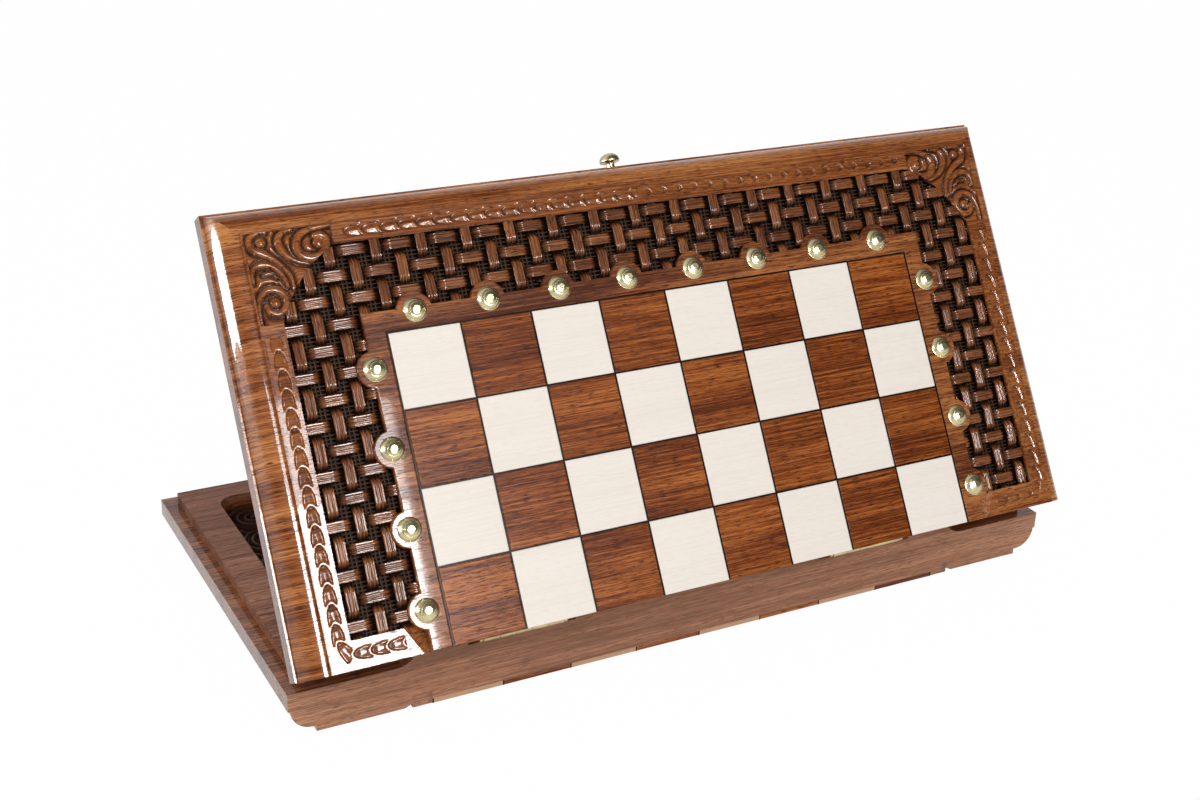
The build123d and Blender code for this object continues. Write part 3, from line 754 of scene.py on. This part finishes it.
def leaf_cuts(u, v, tips):
    """How deep the leaves are cut at each place, and how dark they are there: painted shade, deepest in the
    pocket at each tip and along the edge.

    Seen along its heading a leaf is half an ellipse, width by length, ending in straight sides.
    It leaves out a ring's width round the leaf behind it. From a ridge in the middle it slopes
    down in proportion to the ellipse's own radius and towards its tip, and a steep wall rises
    again at its edge.
    """
    cut, dark = np.zeros_like(u), np.zeros_like(u)
    behind = None
    for (tip_u, tip_v), (head_u, head_v) in tips:
        norm = math.hypot(head_u, head_v)
        y = ((u - tip_u) * head_u + (v - tip_v) * head_v) / norm
        x = ((u - tip_u) * head_v - (v - tip_v) * head_u) / norm
        egg = np.hypot(x / LEAF_HALF_WIDTH, np.clip((y + LEAF_LENGTH) / LEAF_LENGTH, 0, None))
        inside = np.clip((1 - egg) / EDGE_WALL, 0, 1) * np.clip((y + LEAF_TAIL) / TAIL_WALL, 0, 1)
        if behind is not None:
            inside *= np.clip((behind - 1) / GAP_WALL, 0, 1)
        inside = inside * inside * (3 - 2 * inside)
        tip = np.clip((y + TIP_REACH) / TIP_REACH, 0, 1)
        least, by_egg, by_tip = CUT_SHARES
        cut = np.maximum(cut, LEAF_CUT * inside * (least + by_egg * np.clip(egg, 0, 1) + by_tip * tip))
        # Painted shade: darker at the edge and towards the tip.
        edge = np.clip((egg - (1 - EDGE_SHARE)) / EDGE_SHARE, 0, 1)
        least, by_edge, by_tip = DARK_SHARES
        shade = least + by_edge * edge + by_tip * tip * np.clip(egg + EDGE_SHARE, 0, 1)
        dark = np.maximum(dark, inside * shade)
        wide, long = LEAF_HALF_WIDTH + LEAF_GAP, LEAF_LENGTH + LEAF_GAP
        behind = np.hypot(x / wide, np.clip((y + LEAF_LENGTH) / long, 0, None))
        behind = np.where(y > -LEAF_END, behind, np.inf)
    return cut, dark


def carved_block(tray, u, v, w, stain, floor):
    """A block whose top is a carved grid: the grid, walls down to the floor, and a flat bottom."""
    index = np.arange(u.size).reshape(u.shape)
    rim = np.concatenate([index[:-1, 0], index[-1, :-1], index[:0:-1, -1], index[0, :0:-1]])
    order = np.concatenate([index.ravel(), rim, rim])
    depth = np.concatenate([w.ravel(), w.ravel()[rim], np.full(len(rim), floor)])
    u, v = u.ravel()[order], v.ravel()[order]
    walls = patch_faces(2, len(rim), index.size, ring=True)[:, ::-1].tolist()
    bottom = list(range(index.size + len(rim), len(order)))[::-1]
    faces = patch_faces(*index.shape).tolist() + walls + [bottom]
    if floor < w.mean():
        faces = [face[::-1] for face in faces]
    # The side walls take painted shade.
    stain = np.concatenate([stain.ravel(), np.full(2 * len(rim), WALL_SHADE)])
    return at_home(tray, u, v, depth), faces, wood_uv(u, v + depth), stain


def both_ends(tray, u, v, w, stain, floor):
    """A carved block and its mirror image at the tray's other end."""
    mirrored = carved_block(tray, -u[::-1], v[::-1], w[::-1], stain[::-1], floor)
    return [carved_block(tray, u, v, w, stain, floor), mirrored]


def leaf_bands(tray):
    """The chain up each end and round its near corner, and the run along the far side."""
    inner = CHANNEL_END + BAND_INSET
    outer = inner + BAND_WIDTH
    near = (CHANNEL_NEAR - BAND_WIDTH) / 2
    reach = CHANNEL_END - CUT_ALONG - BAND_GAP
    chain = leaf_tips()
    top_chain = [((TOP_START + LEAF_PITCH * i, TOP_MIDDLE), (1, 0)) for i in range(TOP_LEAVES)]
    spans = [(inner, outer, near, BAND_STOP, chain), (THROAT_END, inner, near, near + BAND_WIDTH, chain)]
    spans.append((0.0, reach, CHANNEL_FAR + BAND_INSET, FRAME_FAR - BAND_INSET, top_chain))
    blocks = []
    for u0, u1, v0, v1, tips in spans:
        a = np.linspace(u0, u1, int((u1 - u0) / CARVING_STEP) + 1)
        b = np.linspace(v0, v1, int((v1 - v0) / CARVING_STEP) + 1)
        a, b = np.meshgrid(a, b, indexing="ij")
        cut, dark = leaf_cuts(a, b, tips)
        blocks += both_ends(tray, a, b, cut + FRAME_DROP, dark, BAND_DEPTH + FRAME_DROP)
    return joined(blocks)


def add_carvings(label, shape, material):
    """Both trays' carved pieces of one sort, in place of the plain ones."""
    for tray in TRAYS:
        node = f"{tray}_{label}"
        points, faces, uv, stain = shape(tray)
        add_piece(f"{node}_carved", points, faces, uv, material, f"{tray}_tray", node, stain)


CARVED_TONES = ((90, 42, 18), (140, 78, 38), (178, 112, 60), (50, 24, 12))
carved_walnut = walnut("walnut_carving", "UV", CARVED_TONES, True, 0.7, dark_in_hollows=True)
add_carvings("leaf_bands", leaf_bands, carved_walnut)


# The corner scrolls: curls that end in round bulbs, and curled leaves between them that run out
# into the corner, as on old furniture. They are rounded ridges with a groove along each side.
SCROLL_DEPTH, SCROLL_GROOVE = 4.0, 3.0
SCROLL_TOP, SCROLL_PLAIN, GROOVE_WIDTH = 0.15, 0.7, 1.6
SCROLL_SHADE_START, SCROLL_SHADE_DEPTH, SCROLL_SHADE = 1.1, 1.5, 0.85
SCROLL_MARGIN, SCROLL_GRID = 1.0, (113, 117)
LINE_STEPS = 90
SCROLL_STROKES = [
    # points along the ridge; half width at its start, middle and end
    ([(214, 273.2), (221.6, 273.5), (228.5, 273.3), (236.4, 272.4), (242.6, 269), (245.2, 263.2),
      (243.6, 257.5), (238.2, 254.6), (231.6, 255.4), (226.6, 259.6), (225.4, 264.8), (228.3, 268.4),
      (232.2, 268.2)], (1.2, 3.1, 2.4)),
    ([(247, 273.6), (252.3, 272.8), (256, 268.6), (255.4, 262.3), (251.9, 257), (246.5, 253.2),
      (240, 250.8)], (1.4, 3.0, 1.0)),
    ([(263.4, 273.6), (269, 273.8), (273.6, 271.6), (274.6, 267.2), (272.3, 263.3), (266.8, 260.2),
      (261.3, 256.4), (256.2, 250.6), (252.6, 244.2), (251.8, 236.8)], (1.2, 2.9, 1.1)),
    ([(276.8, 243.3), (276.3, 249.6), (272.6, 253.6), (266.8, 253.8), (261, 250.2), (257, 244.2),
      (255.6, 238.5)], (1.1, 2.5, 1.1)),
    ([(270.2, 247.2), (265.5, 247.8), (261.4, 244.8)], (0.5, 1.3, 0.5)),
    ([(276.6, 212), (276.8, 224.4), (275.2, 232), (271.6, 236.6), (266.2, 238), (261, 235.8),
      (258.4, 230.8), (260, 225.2), (265, 222.4), (270, 224.2), (271.4, 228.2)], (1.1, 2.8, 2.1)),
]
SCROLL_BULBS = [((230.9, 263.4), 3.7), ((267.2, 268), 3.6), ((265.6, 229.4), 3.7)]


def smooth_line(points):
    """A Catmull-Rom curve: between two points it is the cubic that leans along their neighbours."""
    knots = np.array([points[0]] + list(points) + [points[-1]], float)
    place = np.linspace(0, len(points) - 1.001, LINE_STEPS)
    i = place.astype(int)
    t = (place - i)[:, None]
    a, b, c, d = knots[i], knots[i + 1], knots[i + 2], knots[i + 3]
    return 0.5 * (2 * b + (c - a) * t + (2 * a - 5 * b + 4 * c - d) * t**2 + (3 * b - a - 3 * c + d) * t**3)


def scroll_relief(u, v):
    """Depth of the scrolls, and the painted shade that darkens them as they go down.

    With e the distance to the nearest ridge's edge, outside it the wood dips by a bell curve of e,
    and on a ridge of half width h it rises as the root of 1 - (distance / h) squared.
    """
    outside, share = np.full_like(u, np.inf), np.full_like(u, np.inf)
    for points, (start, middle, end) in SCROLL_STROKES:
        line = smooth_line(points)
        half = np.interp(np.linspace(0, 1, len(line)), [0, 0.45, 1], [start, middle, end])
        away = np.hypot(u[..., None] - line[:, 0], v[..., None] - line[:, 1])
        outside = np.minimum(outside, (away - half).min(-1))
        share = np.minimum(share, (away / half).min(-1))
    for (centre_u, centre_v), radius in SCROLL_BULBS:
        away = np.hypot(u - centre_u, v - centre_v)
        outside = np.minimum(outside, away - radius)
        share = np.minimum(share, away / radius)
    ridge = SCROLL_GROOVE - (SCROLL_GROOVE - SCROLL_TOP) * np.sqrt(np.clip(1 - share**2, 0, 1))
    bell = np.exp(-((np.clip(outside, 0, None) / GROOVE_WIDTH) ** 2))
    w = np.where(share < 1, ridge, SCROLL_PLAIN + (SCROLL_GROOVE - SCROLL_PLAIN) * bell)
    return w + FRAME_DROP, np.clip((w - SCROLL_SHADE_START) / SCROLL_SHADE_DEPTH, 0, 1) * SCROLL_SHADE


def corner_scrolls(tray):
    """The carved corners: from the frame's edge down to the curve over the channel's corner."""
    centre, radius = corner_circle()
    along = np.linspace(CHANNEL_END - CUT_ALONG, FRAME_END - SCROLL_MARGIN, SCROLL_GRID[0])
    clipped = np.minimum(along, CHANNEL_END)
    low = centre[1] + np.sqrt(radius**2 - (clipped - centre[0]) ** 2)
    low = np.where(along >= CHANNEL_END, CHANNEL_FAR - CUT_DOWN, low)
    b = np.linspace(0, 1, SCROLL_GRID[1])
    u = np.broadcast_to(along[:, None], SCROLL_GRID)
    v = low[:, None] + (FRAME_FAR - SCROLL_MARGIN - low[:, None]) * b
    w, stain = scroll_relief(u, v)
    return joined(both_ends(tray, u, v, w, stain, SCROLL_DEPTH + FRAME_DROP))


add_carvings("corner_scrolls", corner_scrolls, carved_walnut)


# Upholstery tacks: thin domes of pale polished brass with a plain ring round the crown. Their
# crowns are a little flat, and the lower tray stands on them.
TACK_RADIUS, TACK_HEIGHT, TACK_TIP, TACK_SHANK = 8.0, 4.5, 2.0, 1.2
TACK_SHANK_LENGTH = 7.0
RING_PLACE, RING_WIDTH, RING_DEPTH = 4.6, 0.4, 0.24
TURNS = 40
DRIFT_SCALE, SMEAR_SCALE = (60, 60, 60), (400, 1400, 1400)


def lathe(tray, profile, centres, along_v=False):
    """Turned solids: each (radius, height) of the profile makes a ring round every centre (u, v, w).

    The height runs along w, or along v where along_v says so.
    """
    profile = np.array(profile, float)
    angle = np.arange(TURNS) * 2 * np.pi / TURNS
    a, b = profile[:, :1] * np.cos(angle), profile[:, :1] * np.sin(angle)
    h = np.broadcast_to(profile[:, 1:], a.shape)
    faces = patch_faces(*a.shape, ring=True)[:, ::-1].tolist()
    faces += [list(range(TURNS)), list(range(a.size - TURNS, a.size))[::-1]]
    blocks = []
    for u, v, w in centres:
        place = (u + a, v + h, w + b) if along_v else (u + a, v + b, w + h)
        points = at_home(tray, *place)
        blocks.append((points, faces, points[:, :2]))
    return joined(blocks)


def tack_profile():
    """Crown to shank: a flat tip, a dome on an arc through tip and edge, a rolled edge, the pin.

    A ring, a bell curve of the radius, is pressed into the dome.
    """
    rise = (TACK_RADIUS**2 - TACK_TIP**2 - TACK_HEIGHT**2) / (2 * TACK_HEIGHT)
    dome = math.hypot(TACK_RADIUS, rise)
    radius = np.linspace(TACK_TIP, TACK_RADIUS - 0.25, 22)
    height = rise - np.sqrt(dome**2 - radius**2)
    height = height + RING_DEPTH * np.exp(-(((radius - RING_PLACE) / RING_WIDTH) ** 2))
    crown = [(r, -TACK_HEIGHT) for r in (0.4, 1.2, 1.8)]
    edge = [(TACK_RADIUS, -0.45), (TACK_RADIUS, -0.1), (TACK_RADIUS - 0.3, -0.02)]
    pin = [(TACK_SHANK, -0.02), (TACK_SHANK, TACK_SHANK_LENGTH)]
    return crown + list(zip(radius, np.maximum(height, -TACK_HEIGHT))) + edge + pin


def brass(name, tone, rough):
    """Polished brass: a faint drift of its colour, fine scratches and soft smears."""
    shade = Shade(name, Metallic=1.0, Roughness=rough)
    drift = shade.noise(shade.place("Object", DRIFT_SCALE), 3.0)
    smear = shade.noise(shade.place("Object", SMEAR_SCALE), 4.0, 0.7)
    darker = tuple(c * 0.80 for c in tone)
    colour = shade.blend(drift.clipped(0.3, 0.7), paint(tone), paint(darker))
    roughness = smear * 0.14 + (rough - 0.05)
    return shade.feed(Base_Color=colour, Roughness=roughness, Normal=shade.bump(smear, 0.1, 0.0002))


tack_brass = brass("brass_tacks", (218, 205, 160), 0.25)
for tray in TRAYS:
    node = f"{tray}_tacks"
    points, faces, uv = lathe(tray, tack_profile(), [(*spot, 0.0) for spot in TACK_SPOTS])
    add_piece(f"{node}_domed", points, faces, uv, tack_brass, f"{tray}_tray", node)


# The playing side: long inlaid points of maple and dark walnut, flush with the floor of the
# recess, and a panel carved with curling scrolls at each end of it.
RECESS_END, RAIL, RECESS_FAR = 263.5, 30.0, 263.2
FLOOR_LEVEL = 22.4
PANEL_WIDTH, PANEL_HEIGHT, PANEL_CLEARANCE = 41.0, 8.5, 0.5
PANEL_CORNER = 13.0
PANEL_TONES = ((40, 22, 14), (70, 40, 24), (104, 62, 38), (26, 14, 10))
CURLS, CURL_PITCH, CURL_REACH = 6, 5.6, 17.5
BUD_PLACE, BUD_RADIUS, BUD_GROUND = 14.0, 3.2, 0.15
PANEL_BORDER, PANEL_CUT, PANEL_GRID = 1.6, 3.2, (70, 380)


def end_panels(tray):
    """Each panel's top: six curls with buds between them, inside a plain border.

    A curl's ridges wind outwards as cos(2 pi r / pitch - angle), and a bud is a bell curve. The
    corners are rounded by drawing the grid in.
    """
    low, high = RAIL + PANEL_CLEARANCE, RECESS_FAR - PANEL_CLEARANCE
    inner, outer = RECESS_END - PANEL_WIDTH, RECESS_END - PANEL_CLEARANCE
    across, along = np.linspace(inner, outer, PANEL_GRID[0]), np.linspace(0, 1, PANEL_GRID[1])
    a, b = np.meshgrid(across, along, indexing="ij")
    into_corner = np.clip(a - (outer - PANEL_CORNER), 0, PANEL_CORNER)
    draw = PANEL_CORNER - np.sqrt(PANEL_CORNER**2 - into_corner**2)
    v = low + draw + (high - low - 2 * draw) * b
    pitch = (high - low) / CURLS
    number = np.clip(((v - low) / pitch).astype(int), 0, CURLS - 1)
    off_u, off_v = a - (inner + outer) / 2, v - (low + (number + 0.5) * pitch)
    radius = np.hypot(off_u, off_v)
    angle = np.arctan2(off_v, off_u) * np.where(number % 2, -1, 1)
    wind = 0.5 + 0.5 * np.cos(2 * np.pi * radius / CURL_PITCH - angle)
    bud_v = np.minimum(np.abs(v - low - (number + 1) * pitch), np.abs(v - low - number * pitch))
    bud = np.exp(-((np.hypot(np.abs(off_u) - BUD_PLACE, bud_v) / BUD_RADIUS) ** 2))
    height = np.where(radius < CURL_REACH, wind**0.7, np.maximum(bud, BUD_GROUND))
    border = np.minimum(np.minimum(a - inner, outer - a), np.minimum(v - low, high - v))
    height = np.where(border < PANEL_BORDER, 1.0, height)
    w = FLOOR_LEVEL + PANEL_HEIGHT - PANEL_CUT * (1 - height)
    # The low parts between curls and buds darken: painted shade.
    return joined(both_ends(tray, a, v, w, np.clip(0.95 - height * 0.7, 0, 1), FLOOR_LEVEL))


panel_walnut = walnut("walnut_panels", "UV", PANEL_TONES, False, 0.7, dark_in_hollows=True)
add_carvings("end_panels", end_panels, panel_walnut)
point_finish = {
    "light_points": maple("maple_points", "Object"),
    "dark_points": walnut("walnut_points", "Object", DARK_TONES, False, 0.8),
}
for tray in TRAYS:
    for label, finish in point_finish.items():
        dress(f"{tray}_{label}", finish)


# Two brass butt hinges: rolled leaves let in flush with the rims, a pin with turned heads, and
# three countersunk screws in each leaf. They stay as the frame has them.
hinge_brass = brass("brass_hinges", (214, 196, 150), 0.28)
screw_brass = brass("brass_screws", (196, 176, 118), 0.32)
for side in ("left", "right"):
    for label in ("lower_leaf", "upper_leaf", "pin"):
        dress(f"{side}_hinge_{label}", hinge_brass)
    for label in ("lower_screws", "upper_screws"):
        dress(f"{side}_hinge_{label}", screw_brass)


# The pull knob: turned from brass, with a flange, a stem and a domed cap with a step round it. It
# is screwed into the middle of the upper tray's far rebate.
KNOB_BASE, KNOB_LEVEL = 283.2, 36.2
KNOB_REACH, KNOB_CAP_HEIGHT, KNOB_CAP_RADIUS = 17.0, 6.8, 7.2
SHANK_RADIUS, SHANK_DEPTH = 1.6, 13.9
FLANGE_RADIUS, FLANGE_THICKNESS, STEM_RADIUS = 3.6, 0.9, 2.9


def knob_profile():
    """Shank, flange and stem, then the cap: a hollowed underside, a rolled lip and a low dome.

    The dome is height = lip + rise * sqrt(1 - (r / radius)^2).
    """
    lip = KNOB_REACH + 1.0
    dome = KNOB_CAP_RADIUS * np.cos(np.linspace(0.35, 1.55, 16))
    rise = KNOB_CAP_HEIGHT - 1.25
    body = [(SHANK_RADIUS, -SHANK_DEPTH), (SHANK_RADIUS, 0.0), (FLANGE_RADIUS, 0.0)]
    body += [(FLANGE_RADIUS, FLANGE_THICKNESS), (STEM_RADIUS + 0.2, 1.6), (STEM_RADIUS, 3.0)]
    body += [(STEM_RADIUS, KNOB_REACH - 2.0), (STEM_RADIUS + 0.2, KNOB_REACH + 0.2)]
    body += [(5.6, KNOB_REACH + 0.1), (6.6, KNOB_REACH)]
    body += [(KNOB_CAP_RADIUS - 0.1, KNOB_REACH + 0.3), (KNOB_CAP_RADIUS - 0.1, lip)]
    return body + [(r, lip + rise * math.sqrt(1 - (r / KNOB_CAP_RADIUS) ** 2)) for r in dome]


knob_brass = brass("brass_knob", (206, 190, 146), 0.27)
points, faces, uv = lathe("upper", knob_profile(), [(0.0, KNOB_BASE, KNOB_LEVEL)], along_v=True)
add_piece("pull_knob_turned", points, faces, uv, knob_brass, "upper_tray", "pull_knob")


# The studio: a white floor and backdrop, a darker room behind the camera, and a broad soft key
# light from the front left. Three more soft boxes give only reflections: two in front, one above
# the other, on the carved left end of the upper tray, and one at the left, along its rounded edge.
WHITE = (1.0, 1.0, 1.0, 1.0)
AMBIENT = 0.46
LID_TILT = math.radians(31.5)
FRONT_TILT = math.radians(-11)
BACKDROP_SIDE = (-0.45, 0.85, -0.25)
BACKDROP_EDGE = (-0.35, 0.25)
ROOM = 0.05
FLOOR_WHITE = 0.985
FLOOR_REACH = 6.0
FLOOR_COLOUR = (0.85, 0.85, 0.85, 1.0)


def ray_is(shade, kind):
    """1 for rays of one kind, and 0 for others."""
    return shade.node("ShaderNodeLightPath", output=f"Is {kind} Ray")


def seen_rays(shade):
    """1 for rays from the camera and for mirrored and refracted ones, and 0 for soft light."""
    return ray_is(shade, "Camera").largest(ray_is(shade, "Glossy")).largest(ray_is(shade, "Transmission"))


world = bpy.data.worlds.new("studio")
bpy.context.scene.world = world
world.use_nodes = True
studio = Nodes(world.node_tree)
direction = studio.node("ShaderNodeTexCoord", output="Generated")
ahead = {0: direction, 1: BACKDROP_SIDE}
backdrop = studio.node("ShaderNodeVectorMath", {"operation": "DOT_PRODUCT"}, ahead, "Value")
mirrored = backdrop.clipped(*BACKDROP_EDGE) * (1 - ROOM) + ROOM
sides = {0: seen_rays(studio), 2: AMBIENT, 3: mirrored.largest(ray_is(studio, "Camera"))}
strength = studio.node("ShaderNodeMix", {}, sides)
background = studio.nodes["Background"]
background.inputs["Color"].default_value = WHITE
studio.links.new(strength.socket, background.inputs["Strength"])

floor_mesh = bpy.data.meshes.new("floor")
corners = [(-FLOOR_REACH, -FLOOR_REACH, 0), (FLOOR_REACH, -FLOOR_REACH, 0)]
corners += [(FLOOR_REACH, FLOOR_REACH, 0), (-FLOOR_REACH, FLOOR_REACH, 0)]
floor_mesh.from_pydata(corners, [], [(0, 1, 2, 3)])
floor = bpy.data.objects.new("floor", floor_mesh)
bpy.context.scene.collection.objects.link(floor)
matt = Shade("floor_white", Base_Color=FLOOR_COLOUR, Roughness=0.9)
layers = {0: seen_rays(matt) * FLOOR_WHITE, 1: Value(matt, matt.shader.outputs[0])}
layers[2] = matt.node("ShaderNodeEmission")
mixed = matt.node("ShaderNodeMixShader", {}, layers)
matt.links.new(mixed.socket, matt.nodes["Material Output"].inputs["Surface"])
floor_mesh.materials.append(matt.material)
floor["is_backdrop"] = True


def soft_box(name, place, target, size, power, mirrored=True, tilt=0.0):
    """An even rectangular lamp facing its target, tilted in its own plane.

    A mirrored one shows only in reflections; the other gives only soft light.
    """
    light = bpy.data.lights.new(name, "AREA")
    light.shape = "RECTANGLE"
    light.size, light.size_y = size
    light.energy = power
    lamp = bpy.data.objects.new(name, light)
    facing = (Vector(target) - Vector(place)).to_track_quat("-Z", "Y").to_matrix().to_4x4()
    lamp.matrix_world = Matrix.Translation(place) @ facing @ Matrix.Rotation(tilt, 4, "Z")
    lamp.visible_diffuse = not mirrored
    lamp.visible_glossy = mirrored
    bpy.context.scene.collection.objects.link(lamp)


soft_box("key_box", (-1.0, -1.9, 1.9), (0.0, 0.0, 0.12), (1.5, 1.5), power=42, mirrored=False)
soft_box("front_box", (0.01, -1.2, 0.68), (0.01, 0.0, 0.68), (0.39, 0.50), power=42, tilt=FRONT_TILT)
soft_box("front_box_top", (0.077, -1.2, 1.02), (0.077, 0.0, 1.02), (0.39, 0.18), power=6, tilt=FRONT_TILT)
soft_box("left_box", (-1.33, 0.144, 0.394), (0.0, 0.144, 0.394), (1.0, 0.14), power=34, tilt=LID_TILT)
bpy.context.scene.view_settings.view_transform = "Standard"

boxes = {"cad": cad_box, "visual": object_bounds()}
boxes = {name: [list(corner) for corner in box] for name, box in boxes.items()}
